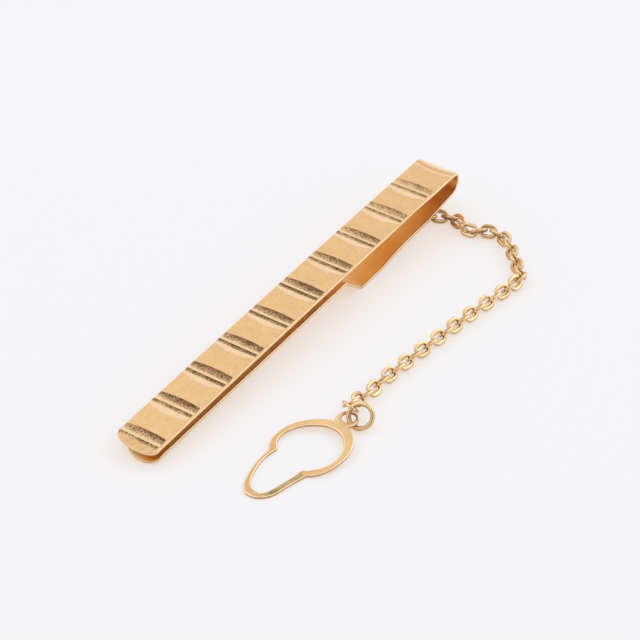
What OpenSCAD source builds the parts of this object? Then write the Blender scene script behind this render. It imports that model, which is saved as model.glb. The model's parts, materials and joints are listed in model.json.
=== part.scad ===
// Sprung tie clip with a cut front bar, a fine safety chain and a keyhole button loop.
// The clip rests on the heel and the tip of its spring leg, and the chain lies on the
// same plane. X runs along the front bar toward the fold, Y across it, Z up.
// The origin is the middle of the overall footprint, on the resting plane.

/* [Strip] */
// Width of the front bar and of the spring leg
strip_w = 6; // [5:0.1:8]
// Thickness of the sprung strip
strip_t = 0.38; // [0.3:0.01:0.45]
// Length of the front bar from its free end to the fold
bar_len = 66; // [58:0.1:72]
// Rise of the front bar's slight arch at its middle
bar_arch = 0.2; // [0.1:0.05:0.4]
// Depth of the bow of the bar's flattened end
bar_end_bow = 0.8; // [0.5:0.05:1.2]
// Radius of the corners of the bar's end
bar_corner_r = 1.25; // [0.8:0.05:1.8]
// Slant of the bar's end across the bar
bar_end_slant = 4.5; // [0:0.5:8]

/* [Cut bands] */
// Number of cut bands along the bar
band_count = 10; // [6:1:10]
// Pitch of the bands
band_pitch = 6.48; // [6:0.02:6.6]
// Place of the ridge nearest the free end, from that end
band_first = 2; // [1.9:0.1:3]
// Width of one band along the bar
band_w = 2.9; // [2:0.1:3.6]
// Width of the ridge that stands in the middle of a band
ridge_w = 0.16; // [0.1:0.02:0.3]
// Run of the steep facet beside the ridge
ridge_run = 0.3; // [0.2:0.02:0.5]
// Depth of the cuts
cut_depth = 0.1; // [0.05:0.01:0.14]
// Uncut margin left along the near edge
cut_margin = 0.28; // [0.1:0.02:0.6]

/* [Fold and spring leg] */
// Radius of the fold, at the middle of the strip
fold_r = 1.44; // [1.3:0.02:1.7]
// Turn of the fold
fold_turn = 174; // [172:1:176]
// Clear slit at the fold's flexing line
flex_slit = 0.05; // [0.04:0.01:0.07]
// Straight run behind the fold
leg_root = 5.9; // [5:0.1:6.5]
// Easing from the root to the flat
leg_ease = 1.5; // [1:0.1:2]
// Flat run of the leg
leg_flat = 4.1; // [3:0.1:5]
// Length of each easing bend about the step in the leg
step_ease = 2.8; // [2:0.1:3.4]
// Straight run of the step
step_run = 2; // [1:0.1:3]
// Slope of the step
step_turn = 7.5; // [5:0.5:9]
// Flat run ahead of the heel
heel_run = 3.1; // [2:0.1:4]
// Angle of the riser behind the heel
heel_turn = 39.5; // [36:0.5:42]
// Bend radius at the heel and at the top of the riser
heel_r = 0.6; // [0.45:0.05:0.8]
// Straight length of the riser
riser_len = 4.36; // [4.2:0.02:4.5]
// Straight length of the tongue under the bar
tongue_len = 37.6; // [30:0.1:39]
// Length of the flared tip
tip_len = 2.1; // [1.6:0.1:2.6]
// Turn of the flared tip
tip_turn = 26; // [18:1:32]
// Depth of the bow of the tip's end
tip_end_bow = 1.8; // [1.4:0.05:2.4]
// Radius of the corners of the tip
tip_corner_r = 1; // [0.8:0.05:1.6]
// Slant of the tip's end, its near corner reaching further
tip_slant = 16; // [10:0.5:20]

/* [Anchor eye] */
// Wire of the eye
eye_wire = 0.4; // [0.34:0.02:0.44]
// Clear width inside the eye
eye_gap = 0.6; // [0.56:0.02:0.7]
// Drop of the eye's inner end below the leg
eye_drop = 1.4; // [1.36:0.01:1.44]
// Place of the eye along the leg's root
eye_along = 4.7; // [3.6:0.1:4.9]
// Place of the eye across the leg, toward the near edge
eye_across = 1.2; // [0.8:0.05:1.4]

/* [Chain] */
// Wire of a link
link_wire = 0.42; // [0.38:0.01:0.44]
// Inner length of a link
link_in_len = 1.7; // [1.66:0.02:1.8]
// Inner width of a link
link_in_w = 1.11; // [1.05:0.01:1.2]
// Clearance between the wires of linked links
link_clear = 0.04; // [0.02:0.01:0.06]
// Height of the lying chain's centre line
chain_z = 0.78; // [0.76:0.01:0.84]

/* [Jump ring and button loop] */
// Wire of the jump ring
ring_wire = 0.58; // [0.54:0.02:0.6]
// Outer diameter of the jump ring
ring_od = 3.5; // [3.3:0.1:3.8]
// Sheet of the button loop
loop_t = 0.32; // [0.28:0.02:0.34]
// Outer radius of the loop's ear
ear_r = 1.4; // [1.3:0.05:1.5]
// Distance from the ear's hole to the ear's centre, toward the large eye
ear_back = 0.26; // [0.2:0.02:0.34]
// Width of the neck that joins the ear to the large eye
ear_neck = 2.3; // [1.8:0.1:2.6]
// Diameter of the hole in the ear
ear_hole = 1.72; // [1.66:0.02:1.8]
// Outer radius of the large eye
eye_outer_r = 4.8; // [4.4:0.1:5.2]
// Inner radius of the large eye
eye_inner_r = 3.82; // [3.5:0.02:4]
// Distance from the ear's hole to the centre of the large eye
eye_away = 6.8; // [6.6:0.1:7.4]
// Half width of the arms, carried back to the centre of the large eye
arm_root = 3.85; // [3.4:0.05:4.1]
// Radius of the narrow end, outside
nose_outer_r = 2.25; // [2:0.05:2.5]
// Radius of the narrow end, inside
nose_inner_r = 1.4; // [1.2:0.05:1.5]
// Distance from the ear's hole to the centre of the narrow end
nose_away = 15.6; // [14.5:0.1:17]
// Distance from the ear's hole to the bend across the loop
bend_away = 10.4; // [10:0.1:11]

/* [Hidden] */

$fn = 48;
over = strip_t;

// Side profile, drawn as a path of [length, turn] stretches with X toward the fold
// and Y standing for height. Zero height is the top of the bar at its ends.
step_angle = 6;
function stretch(s) = let (n = max(1, ceil(abs(s[1]) / step_angle)))
    [for (k = [1:n]) [s[0] / n, s[1] / n]];
function steps(list) = [for (s = list) each stretch(s)];
function trail(s, start, aim) =
    [for (i = 0, p = start, a = aim; i <= len(s);
        m = i < len(s) ? a + s[i][1] / 2 : a,
        p = i < len(s) ? p + s[i][0] * [cos(m), sin(m)] : p,
        a = i < len(s) ? a + s[i][1] : a,
        i = i + 1) [p.x, p.y, a]];
function beside(t, d) = [for (q = t) [q.x - d * sin(q.z), q.y + d * cos(q.z)]];
function ribbon(t) = concat(beside(t, strip_t / 2),
    [for (i = [len(t) - 1:-1:0]) beside(t, -strip_t / 2)[i]]);
function arc_len(r, a) = r * abs(a) * PI / 180;

// The flexing line sits half way round the fold, in its outer skin.
bar_bow_r = (pow(bar_len / 2, 2) + pow(bar_arch, 2)) / (2 * bar_arch);
bar_lift = asin(bar_len / 2 / bar_bow_r);
fold_top = [0, -strip_t / 2];
fold_mid = [0, -strip_t / 2 - fold_r];
slit_angle = asin(flex_slit / 2 / fold_r);
top_turn = 90 - slit_angle;
low_turn = fold_turn - 90 - slit_angle;
bar_steps = 24;
bar_path = trail([for (k = [1:bar_steps]) [bar_len / bar_steps, 2 * bar_lift / bar_steps]],
    fold_top, 180 - bar_lift);
top_path = trail(steps([[arc_len(fold_r, top_turn), -top_turn]]), fold_top, 0);
low_start = fold_mid + fold_r * [cos(slit_angle), -sin(slit_angle)];
leg_path = trail(steps([
    [arc_len(fold_r, low_turn), -low_turn],
    [leg_root, 0],
    [leg_ease, fold_turn - 180],
    [leg_flat, 0],
    [step_ease, step_turn],
    [step_run, 0],
    [step_ease, -step_turn],
    [heel_run, 0],
    [arc_len(heel_r, heel_turn), -heel_turn],
    [riser_len, 0],
    [arc_len(heel_r, heel_turn), heel_turn],
    [tongue_len, 0],
    [tip_len, tip_turn]]), low_start, -90 - slit_angle);

// The whole strip sits on its heel and on its tip, which sets its tilt and its lift.
leg_skin = beside(leg_path, strip_t / 2);
half_way = -bar_len * 3 / 4;
tip_skin = [for (q = leg_skin) if (q.x < half_way) q];
heel_skin = [for (q = leg_skin) if (q.x >= half_way) q];
function low(list, a) = min([for (q = list) q.x * sin(a) + q.y * cos(a)]);
function settle(a, b, n) = n == 0 ? (a + b) / 2
    : let (m = (a + b) / 2) low(tip_skin, m) > low(heel_skin, m)
    ? settle(m, b, n - 1) : settle(a, m, n - 1);
tilt = settle(0, 10, 40);
lift = -low(heel_skin, tilt);
function seat(p) = [p.x * cos(tilt) - p.z * sin(tilt), p.y,
    p.x * sin(tilt) + p.z * cos(tilt) + lift];

// Ends seen from above: a wide arc with a smaller arc at each corner, slanted.
arc_steps = 8;
function bow_r(w, bow) = (pow(w / 2, 2) + pow(bow, 2)) / (2 * bow);
bar_end_r = bow_r(strip_w, bar_end_bow);
tip_end_r = bow_r(strip_w, tip_end_bow);
function sweep_pts(c, r, a, b) = [for (k = [0:arc_steps])
    let (g = a + (b - a) * k / arc_steps) c + r * [cos(g), sin(g)]];
function cap(w, r, rc, slant) =
    let (dy = w / 2 - rc,
        dx = sqrt(pow(r - rc, 2) - pow(dy, 2)),
        g = atan2(dy, -dx),
        pts = concat(sweep_pts([r - dx, dy], rc, 90, g),
            sweep_pts([r, 0], r, g, 360 - g),
            sweep_pts([r - dx, -dy], rc, 360 - g, 270)))
    [for (q = pts) [q.x + q.y * tan(slant), q.y]];
module plan_blank(end_x, r, rc, slant) {
    outline = cap(strip_w, r, rc, slant);
    foremost = min([for (q = outline) q.x]);
    pts = [for (q = outline) [q.x - foremost + end_x, q.y]];
    far_x = fold_r + 2 * strip_t;
    translate([0, 0, -bar_len])
        linear_extrude(2 * bar_len)
            polygon(concat(pts, [[far_x, -strip_w / 2], [far_x, strip_w / 2]]));
}
module across(pts) {
    rotate([90, 0, 0])
        translate([0, 0, -strip_w / 2])
            linear_extrude(strip_w)
                polygon(pts);
}
function edge_x(t) = min([for (q = beside(t, strip_t / 2)) q.x]);
function edge_x2(t) = min([for (q = beside(t, -strip_t / 2)) q.x]);
bar_end_x = min(edge_x(bar_path), edge_x2(bar_path));
tip_end_x = min(edge_x(leg_path), edge_x2(leg_path));

// Chain, ring and loop are laid out from the eye, in the resting frame.
eye_reach = eye_gap + eye_wire;
root_end = [for (i = [0:len(leg_path) - 1])
    if (abs(leg_path[i].z + fold_turn) < step_angle / 100) leg_path[i]][0];
root_aim = [cos(fold_turn), -sin(fold_turn)];
root_under = [root_end.x, root_end.y] + eye_along * root_aim
    + strip_t / 2 * [sin(fold_turn), cos(fold_turn)];
root_slope = 180 - fold_turn + tilt;
post_top = seat([root_under.x, -eye_across, root_under.y]);
post_at = [post_top.x + (post_top.z - chain_z) * tan(root_slope), post_top.y, chain_z];

start_heading = -44;
start_roll = -20;
// Stretches of the chain: links, turn at each link, climb, share of the slack taken.
lay_shares = [
    [1, 0, 0, 0.05],
    [2, -16, 0, 0.5],
    [1, -38, 0, 0.95],
    [1, -8, 0, 0.95],
    [1, 38, 0, 0.9],
    [1, 40, 0, 0.9],
    [3, -26, 0, 0.7],
    [2, -9, 0, 0],
    [3, 2, 0, 0.45],
    [1, -40, 0, 0.85],
    [2, -7.5, 0, 0.9],
    [5, 0.5, 0, 0.05],
    [10, 0.2, 0, 0],
    [2, 3.5, 0, 0],
    [1, -8, 5, 0],
    [1, 6, 18, 0],
    [1, -6, 13, 0.5],
    [1, 74, 6, 0.95]];
lay = [for (r = lay_shares) for (k = [1:r[0]]) r];
wire_r = link_wire / 2;
link_reach = link_in_len / 2 + wire_r;
taut = link_in_len - link_clear;
slack = (link_in_len - 2 * link_wire - link_clear) / 2;
function hop(i) = taut - slack * lay[i][3];
function aim(a, c) = [cos(c) * cos(a), cos(c) * sin(a), sin(c)];
start_at = post_at - ((eye_wire + link_clear) / 2) * aim(start_heading, 0);
// One entry a link: centre, heading, climb, roll.
links = [for (i = 0, m = start_at, a = start_heading; i < len(lay);
    m = m + hop(i) * aim(a, lay[i][2]),
    i = i + 1,
    a = i < len(lay) ? a + lay[i][1] : a)
    [m + hop(i) / 2 * aim(a, lay[i][2]), a, lay[i][2],
        i == 0 ? start_roll : (i % 2 == 0 ? -45 : 45)]];
last = links[len(lay) - 1];
chain_end = last[0] + hop(len(lay) - 1) / 2 * aim(last[1], last[2]);

ring_r = (ring_od - ring_wire) / 2;
ring_turn = 14;
ring_heading = last[1] + ring_turn;
ring_climb = -22;
ring_roll = 45;
ring_aim = aim(ring_heading, ring_climb);
ring_at = chain_end + (ring_r - (ring_wire + link_clear) / 2) * ring_aim;
// The ear hangs on the ring this far round from the chain.
ear_turn = 56;
function turned(v, a, c, r) =
    let (p = [v.x, v.y * cos(r) - v.z * sin(r), v.y * sin(r) + v.z * cos(r)],
        q = [p.x * cos(c) - p.z * sin(c), p.y, p.x * sin(c) + p.z * cos(c)])
    [q.x * cos(a) - q.y * sin(a), q.x * sin(a) + q.y * cos(a), q.z];
hole_at = ring_at + turned(-ring_r * [cos(ear_turn), sin(ear_turn), 0],
    ring_heading, ring_climb, ring_roll);

// The bend runs a little askew across the loop's arms.
bend_skew = 10;
loop_heading = 174;
bend_heading = loop_heading - bend_skew;
loop_tilt = asin(hole_at.z / norm([bend_away, loop_t / 2])) - atan2(loop_t / 2, bend_away);
bend_at = hole_at + bend_away * aim(bend_heading, -loop_tilt)
    - loop_t / 2 * [sin(loop_tilt) * cos(bend_heading), sin(loop_tilt) * sin(bend_heading),
        cos(loop_tilt)];
large_at = hole_at + eye_away * [cos(loop_heading), sin(loop_heading), 0];

// Footprint of the whole, for the origin.
foot_min_x = seat([bar_end_x, 0, 0]).x;
foot_max_x = seat([fold_r + strip_t / 2, 0, fold_mid.y]).x;
foot_min_y = large_at.y - eye_outer_r;
foot_max_y = strip_w / 2;
origin = [(foot_min_x + foot_max_x) / 2, (foot_min_y + foot_max_y) / 2, 0];

module resting() {
    translate(-origin)
        children();
}
module seated() {
    resting()
        translate([0, 0, lift])
            rotate([0, -tilt, 0])
                children();
}
module posed(at, heading, climb, roll) {
    resting()
        translate(at)
            rotate([0, 0, heading])
                rotate([0, -climb, 0])
                    rotate([roll, 0, 0])
                        children();
}

// Front bar: the shown face with its cut bands, down to the flexing line of the fold.
function bar_top(x) = -bar_bow_r + bar_arch
    + sqrt(pow(bar_bow_r, 2) - pow(x + bar_len / 2, 2));
module band_cut(x) {
    z = bar_top(x);
    half = band_w / 2;
    for (side = [1, -1])
        translate([x, 0, 0])
            rotate([90, 0, 0])
                translate([0, 0, -strip_w / 2 - over])
                    linear_extrude(strip_w + over - cut_margin)
                        polygon([
                            [side * ridge_w / 2, z + over],
                            [side * ridge_w / 2, z],
                            [side * (ridge_w / 2 + ridge_run), z - cut_depth],
                            [side * half, z],
                            [side * half, z + over]]);
}
module front_bar() {
    color([0.9, 0.76, 0.54])
        seated()
            difference() {
                intersection() {
                    union() {
                        across(ribbon(bar_path));
                        across(ribbon(top_path));
                    }
                    plan_blank(bar_end_x, bar_end_r, bar_corner_r, bar_end_slant);
                }
                for (i = [0:band_count - 1])
                    band_cut(bar_end_x + band_first + i * band_pitch);
            }
}

// Spring leg: lower half of the fold, leg, heel, riser, tongue and flared tip.
module spring_leg() {
    color([0.86, 0.68, 0.44])
        seated()
            intersection() {
                across(ribbon(leg_path));
                plan_blank(tip_end_x, tip_end_r, tip_corner_r, tip_slant);
            }
}

// Anchor eye: a wire staple on the underside of the leg, its plane along the chain.
module anchor_eye() {
    post = eye_drop - eye_gap / 2;
    color([0.8, 0.62, 0.36])
        resting()
            translate(post_top)
                rotate([0, -root_slope, 0])
                    rotate([0, 0, start_heading])
                        translate([-eye_reach, 0, 0]) {
                            translate([eye_reach / 2, 0, -post])
                                rotate([-90, 0, 0])
                                    rotate_extrude(angle = 180)
                                        translate([eye_reach / 2, 0])
                                            circle(eye_wire / 2);
                            for (x = [0, eye_reach])
                                translate([x, 0, -post])
                                    cylinder(h = post, r = eye_wire / 2);
                        }
}

// One chain link: two half rings and two straight sides.
module oval_link() {
    bend_r = link_in_w / 2 + wire_r;
    side = link_in_len - link_in_w;
    for (turn = [0, 180])
        rotate([0, 0, turn]) {
            translate([side / 2, 0, 0])
                rotate([0, 0, -90])
                    rotate_extrude(angle = 180)
                        translate([bend_r, 0])
                            circle(wire_r);
            translate([-side / 2, bend_r, 0])
                rotate([0, 90, 0])
                    cylinder(h = side, r = wire_r);
        }
}
module chain_link(i) {
    l = links[i];
    color([0.84, 0.67, 0.4])
        posed(l[0], l[1], l[2], l[3])
            oval_link();
}

module jump_ring() {
    color([0.82, 0.64, 0.38])
        posed(ring_at, ring_heading, ring_climb, ring_roll)
            rotate_extrude()
                translate([ring_r, 0])
                    circle(ring_wire / 2);
}

// Button loop: ear, large eye and narrow end, cut from one sheet and bent once.
module keyhole_blank() {
    rim = loop_t;
    difference() {
        union() {
            translate([ear_back, 0, 0])
                cylinder(h = loop_t, r = ear_r);
            translate([ear_back, -ear_neck / 2, 0])
                cube([eye_away - ear_back - (eye_outer_r + eye_inner_r) / 2, ear_neck, loop_t]);
            translate([eye_away, 0, 0])
                cylinder(h = loop_t, r = eye_outer_r);
            keyhole_nose(arm_root, nose_outer_r, loop_t);
        }
        translate([0, 0, -rim])
            cylinder(h = loop_t + 2 * rim, d = ear_hole);
        translate([eye_away, 0, -rim])
            cylinder(h = loop_t + 2 * rim, r = eye_inner_r);
        translate([0, 0, -rim])
            keyhole_nose(arm_root - nose_outer_r + nose_inner_r, nose_inner_r, loop_t + 2 * rim);
    }
}
module keyhole_nose(root, r, h) {
    reach = nose_away - eye_away;
    lean = asin((root - r) / reach);
    root_x = eye_away + root * sin(lean);
    root_y = root * cos(lean);
    nose_x = nose_away + r * sin(lean);
    nose_y = r * cos(lean);
    linear_extrude(h)
        polygon([[root_x, -root_y], [nose_x, -nose_y], [nose_x, nose_y], [root_x, root_y]]);
    translate([nose_away, 0, 0])
        cylinder(h = h, r = r);
}
module button_loop() {
    wide = 2 * nose_away;
    color([0.9, 0.75, 0.52]) {
        posed(hole_at, bend_heading, -loop_tilt, 0)
            intersection() {
                translate([0, 0, -loop_t / 2])
                    rotate([0, 0, bend_skew])
                        keyhole_blank();
                translate([-wide + bend_away, -wide / 2, -wide / 2])
                    cube(wide);
            }
        posed(bend_at, bend_heading, 0, 0)
            intersection() {
                translate([-bend_away, 0, 0])
                    rotate([0, 0, bend_skew])
                        keyhole_blank();
                translate([0, -wide / 2, -wide / 2])
                    cube(wide);
            }
    }
}

front_bar();
spring_leg();
anchor_eye();
chain_link(0);  // chain_link_01
chain_link(1);  // chain_link_02
chain_link(2);  // chain_link_03
chain_link(3);  // chain_link_04
chain_link(4);  // chain_link_05
chain_link(5);  // chain_link_06
chain_link(6);  // chain_link_07
chain_link(7);  // chain_link_08
chain_link(8);  // chain_link_09
chain_link(9);  // chain_link_10
chain_link(10);  // chain_link_11
chain_link(11);  // chain_link_12
chain_link(12);  // chain_link_13
chain_link(13);  // chain_link_14
chain_link(14);  // chain_link_15
chain_link(15);  // chain_link_16
chain_link(16);  // chain_link_17
chain_link(17);  // chain_link_18
chain_link(18);  // chain_link_19
chain_link(19);  // chain_link_20
chain_link(20);  // chain_link_21
chain_link(21);  // chain_link_22
chain_link(22);  // chain_link_23
chain_link(23);  // chain_link_24
chain_link(24);  // chain_link_25
chain_link(25);  // chain_link_26
chain_link(26);  // chain_link_27
chain_link(27);  // chain_link_28
chain_link(28);  // chain_link_29
chain_link(29);  // chain_link_30
chain_link(30);  // chain_link_31
chain_link(31);  // chain_link_32
chain_link(32);  // chain_link_33
chain_link(33);  // chain_link_34
chain_link(34);  // chain_link_35
chain_link(35);  // chain_link_36
chain_link(36);  // chain_link_37
chain_link(37);  // chain_link_38
chain_link(38);  // chain_link_39
jump_ring();
button_loop();
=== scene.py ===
import json
import math
import random

import bmesh
import bpy
import numpy as np
from mathutils import Matrix, Vector


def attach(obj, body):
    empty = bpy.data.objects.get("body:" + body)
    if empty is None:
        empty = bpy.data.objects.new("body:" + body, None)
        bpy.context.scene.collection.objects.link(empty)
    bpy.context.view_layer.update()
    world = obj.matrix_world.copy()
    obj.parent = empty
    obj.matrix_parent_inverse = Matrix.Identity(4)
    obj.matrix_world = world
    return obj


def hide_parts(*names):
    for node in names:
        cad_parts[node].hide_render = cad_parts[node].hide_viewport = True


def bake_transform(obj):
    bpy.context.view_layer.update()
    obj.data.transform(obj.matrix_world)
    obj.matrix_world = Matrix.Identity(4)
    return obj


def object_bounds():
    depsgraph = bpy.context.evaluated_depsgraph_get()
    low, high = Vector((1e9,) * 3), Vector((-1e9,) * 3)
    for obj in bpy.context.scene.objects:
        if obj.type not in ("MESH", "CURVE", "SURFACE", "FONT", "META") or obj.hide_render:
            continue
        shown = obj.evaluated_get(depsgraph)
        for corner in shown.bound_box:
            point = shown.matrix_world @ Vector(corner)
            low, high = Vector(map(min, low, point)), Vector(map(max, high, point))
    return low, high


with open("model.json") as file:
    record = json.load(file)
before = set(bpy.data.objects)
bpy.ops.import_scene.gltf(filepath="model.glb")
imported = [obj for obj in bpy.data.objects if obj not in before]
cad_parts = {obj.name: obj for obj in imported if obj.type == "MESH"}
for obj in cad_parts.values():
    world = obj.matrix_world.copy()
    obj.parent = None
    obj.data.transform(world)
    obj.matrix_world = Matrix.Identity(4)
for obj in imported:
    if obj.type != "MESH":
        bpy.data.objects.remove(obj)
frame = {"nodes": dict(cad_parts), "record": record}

MM = 0.001
UP = np.array([0, 0, 1.0])
cad_box = [[float(x) for x in corner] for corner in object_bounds()]
rng = random.Random(11)
band_rng = random.Random(5)


def add_object(name, data):
    obj = bpy.data.objects.new(name, data)
    bpy.context.scene.collection.objects.link(obj)
    return obj


# ---------------------------------------------------------------- materials
MIX_FACTOR, MIX_A, MIX_B, MIX_RESULT = 0, 6, 7, 2


class Tree:
    """The nodes of a material or of the world, with the steps that the skins share."""

    def __init__(self, owner):
        owner.use_nodes = True
        self.nodes = owner.node_tree.nodes
        self.links = owner.node_tree.links
        self.nodes.clear()

    def feed(self, socket, value):
        """Link an output to the socket, or set a number, colour or vector on it."""
        if isinstance(value, bpy.types.NodeSocket):
            self.links.new(value, socket)
        elif socket.type == "RGBA":
            socket.default_value = (*value, 1)
        else:
            socket.default_value = value

    def add(self, kind, inputs=None):
        node = self.nodes.new("ShaderNode" + kind)
        for key, value in (inputs or {}).items():
            self.feed(node.inputs[key], value)
        return node

    def place(self, layer):
        """A UV layer in millimetres, or without one the object's own metres."""
        if layer:
            node = self.add("UVMap")
            node.uv_map = layer
            return node.outputs["UV"]
        return self.add("TexCoord").outputs["Object"]

    def split(self, where):
        node = self.add("SeparateXYZ", {0: where})
        return node.outputs[0], node.outputs[1]

    def noise(self, where, scale, detail=4.0, rough=0.6, stretch=None):
        """Noise over a coordinate, drawn out along one way where stretch is given."""
        if stretch:
            where = self.add("Mapping", {"Vector": where, "Scale": stretch}).outputs["Vector"]
        tex = self.add("TexNoise", {"Vector": where, "Scale": scale, "Detail": detail,
                                    "Roughness": rough})
        return tex.outputs["Fac"]

    def calc(self, op, a, b):
        node = self.add("Math", {0: a, 1: b})
        node.operation = op
        return node.outputs[0]

    def plus(self, first, *others):
        for other in others:
            first = self.calc("ADD", first, other)
        return first

    def times(self, a, b):
        return self.calc("MULTIPLY", a, b)

    def swing(self, value, gain):
        """Noise about a half turned into noise about zero."""
        return self.times(self.calc("SUBTRACT", value, 0.5), gain)

    def mottle(self, soft, fine, share):
        return self.plus(self.times(soft, 1.0 - share), self.times(fine, share))

    def spread(self, value, lo, hi, to_lo=0.0, to_hi=1.0):
        """The stretch from lo to hi turned into that from to_lo to to_hi, and held beyond it."""
        node = self.add("MapRange", {"Value": value, "From Min": lo, "From Max": hi,
                                     "To Min": to_lo, "To Max": to_hi})
        return node.outputs["Result"]

    def ramp(self, value, *stops):
        node = self.add("ValToRGB", {"Fac": value})
        points = node.color_ramp.elements
        while len(points) < len(stops):
            points.new(1.0)
        for point, (place, colour) in zip(points, stops):
            point.position = place
            point.color = (*colour, 1)
        return node.outputs["Color"]

    def blend(self, fac, a, b):
        node = self.add("Mix")
        node.data_type = "RGBA"
        for key, value in ((MIX_FACTOR, fac), (MIX_A, a), (MIX_B, b)):
            self.feed(node.inputs[key], value)
        return node.outputs[MIX_RESULT]

    def metal(self, colour, rough, height, depth):
        """The finished skin: metal with a bump of so many millimetres."""
        bump = self.add("Bump", {"Strength": 1.0, "Distance": depth * MM, "Height": height})
        bsdf = self.add("BsdfPrincipled", {"Metallic": 1.0, "Base Color": colour,
                                           "Roughness": rough, "Normal": bump.outputs["Normal"]})
        self.add("OutputMaterial", {"Surface": bsdf.outputs["BSDF"]})


def new_material(name):
    mat = bpy.data.materials.new(name)
    return mat, Tree(mat)


def gold(name, light, dark, rough, patch, grain, depth, streak=None, layer="surface",
         mottle=0.35):
    """Gold plate: two tones in soft patches with a fine mottle, and a grain or scratches."""
    mat, t = new_material(name)
    where = t.place(layer)
    soft = t.noise(where, patch, 5.0)
    fine = t.noise(where, grain, 4.0, 0.65)
    colour = t.ramp(t.mottle(soft, fine, mottle), (0.34, dark), (0.66, light))
    height = t.plus(fine, t.noise(where, 1.0, 3.0, 0.6, streak)) if streak else fine
    t.metal(colour, t.spread(soft, 0.3, 0.7, rough - 0.05, rough + 0.05), height, depth)
    return mat


def rough_cut(name, inner, outer, gain, flecks=5.2, end_fade=-0.05):
    """Matt facet of a cut: gold flecks over a painted dark reflection, browner from inner to
    outer, and more golden toward the fold and at the bar's free end."""
    mat, t = new_material(name)
    where = t.place("surface")
    across_band, across_strip = t.split(t.place("band"))
    along, _ = t.split(where)
    fleck = t.noise(where, flecks, 3.0, 0.75, (0.8, 1.2, 1.0))
    tiny = t.noise(where, 2.6 * flecks, 2.0, 0.7)
    cloud = t.noise(where, 0.9, 2.0, 0.5)
    # The tone under the flecks is a painted dark reflection.
    painted_dark = t.plus(
        t.swing(fleck, 2.6), t.swing(tiny, 1.2), t.swing(cloud, 0.7),
        t.spread(across_band, inner, outer, -0.16, gain),
        t.spread(across_strip, 2.0, -2.6, -0.05, 0.05),
        t.spread(along, 34.0, 64.0, 0.0, -0.25),
        t.spread(along, 12.0, 5.0, 0.0, end_fade), 0.52)
    colour = t.ramp(painted_dark, (0.22, (0.82, 0.56, 0.31)), (0.42, (0.50, 0.288, 0.137)),
                    (0.60, (0.24, 0.131, 0.060)), (0.86, (0.092, 0.048, 0.023)))
    t.metal(colour, t.spread(fleck, 0.3, 0.7, 0.38, 0.56), fleck, 0.012)
    return mat


def fold_skin(name):
    """The shown skin over the fold: a bright scribed arc, a tan hollow, then pale to the turn."""
    mat, t = new_material(name)
    where = t.place("surface")
    beyond_arc, _ = t.split(t.place("band"))
    fine = t.noise(where, 6.0, 4.0, 0.65)
    soft = t.noise(where, 0.9, 4.0)
    way = t.plus(t.spread(beyond_arc, -0.4, 2.6), t.swing(soft, 0.05))
    # Painted highlights: the bright line along the scribed arc and the pale band toward the turn.
    colour = t.ramp(way, (0.02, (0.86, 0.57, 0.28)), (0.10, (0.97, 0.68, 0.39)),
                    (0.165, (0.97, 0.68, 0.39)), (0.24, (0.80, 0.495, 0.255)),
                    (0.41, (0.84, 0.545, 0.29)), (0.49, (0.98, 0.74, 0.48)),
                    (0.60, (1.0, 0.84, 0.62)), (0.95, (0.90, 0.60, 0.31)))
    t.metal(colour, t.spread(soft, 0.3, 0.7, 0.30, 0.38), fine, 0.004)
    return mat


def spoon_skin(name):
    """The leg's turned-up end: amber near, a painted olive reflection toward the far side."""
    mat, t = new_material(name)
    where = t.place("surface")
    _, across = t.split(t.place("band"))
    soft = t.noise(where, 0.7, 4.0)
    fine = t.noise(where, 5.0, 4.0, 0.65)
    tone = t.mottle(soft, fine, 0.4)
    amber = t.ramp(tone, (0.36, (0.96, 0.57, 0.18)), (0.64, (1.0, 0.66, 0.26)))
    # painted reflection: olive toward the far side
    olive = t.ramp(tone, (0.40, (0.76, 0.62, 0.42)), (0.6, (0.93, 0.80, 0.58)))
    far = t.spread(t.plus(across, t.times(soft, 1.6)), -1.5, 0.7)
    t.metal(t.blend(far, amber, olive), t.spread(far, 0.0, 1.0, 0.36, 0.5), fine, 0.006)
    return mat


def loop_skin(name):
    """The loop's face: gold, with an olive stretch on the near arm and round the narrow end,
    part wear of the plating and part a painted dark reflection.
    """
    mat, t = new_material(name)
    where = t.place("surface")
    along, across = t.split(where)
    soft = t.noise(where, 0.5, 4.0)
    fine = t.noise(where, 5.0, 4.0, 0.65)
    tone = t.mottle(soft, fine, 0.4)
    pale = t.ramp(tone, (0.36, (0.85, 0.55, 0.27)), (0.64, (0.95, 0.655, 0.355)))
    warm = t.ramp(tone, (0.36, (0.76, 0.43, 0.18)), (0.64, (0.90, 0.56, 0.265)))
    # Olive stretch: part wear of the plating, part a painted dark reflection.
    worn_and_dark_reflection = t.ramp(tone, (0.40, (0.33, 0.235, 0.105)), (0.5, (0.57, 0.41, 0.19)),
                  (0.61, (0.84, 0.62, 0.34)))
    slanted = t.plus(along, t.times(across, -0.5))
    near = t.spread(t.plus(across, t.swing(soft, 1.4)), -0.6, 0.9)
    colour = t.blend(t.spread(slanted, 3.0, 11.0), pale, warm)
    colour = t.blend(t.times(t.spread(slanted, 9.3, 9.6), near), colour, worn_and_dark_reflection)
    t.metal(colour, t.spread(soft, 0.3, 0.7, 0.26, 0.36), fine, 0.005)
    return mat


def wire_skin(name, light, dark, inner_shade, rough, reach):
    """Drawn wire: bright outside, with painted shade along the inner side of the bend."""
    mat, t = new_material(name)
    _, outward = t.split(t.place("surface"))
    body = t.place(None)
    soft = t.noise(body, 900.0, 4.0)
    fine = t.noise(body, 6000.0, 4.0, 0.65)
    tone = t.ramp(soft, (0.36, dark), (0.64, light))
    inside = t.spread(t.plus(outward, t.swing(soft, 1.1)), reach + 0.25, reach - 0.45)
    t.metal(t.blend(inside, tone, inner_shade), t.spread(inside, 0.0, 1.0, rough, rough + 0.2),
            fine, 0.003)
    return mat


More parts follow.
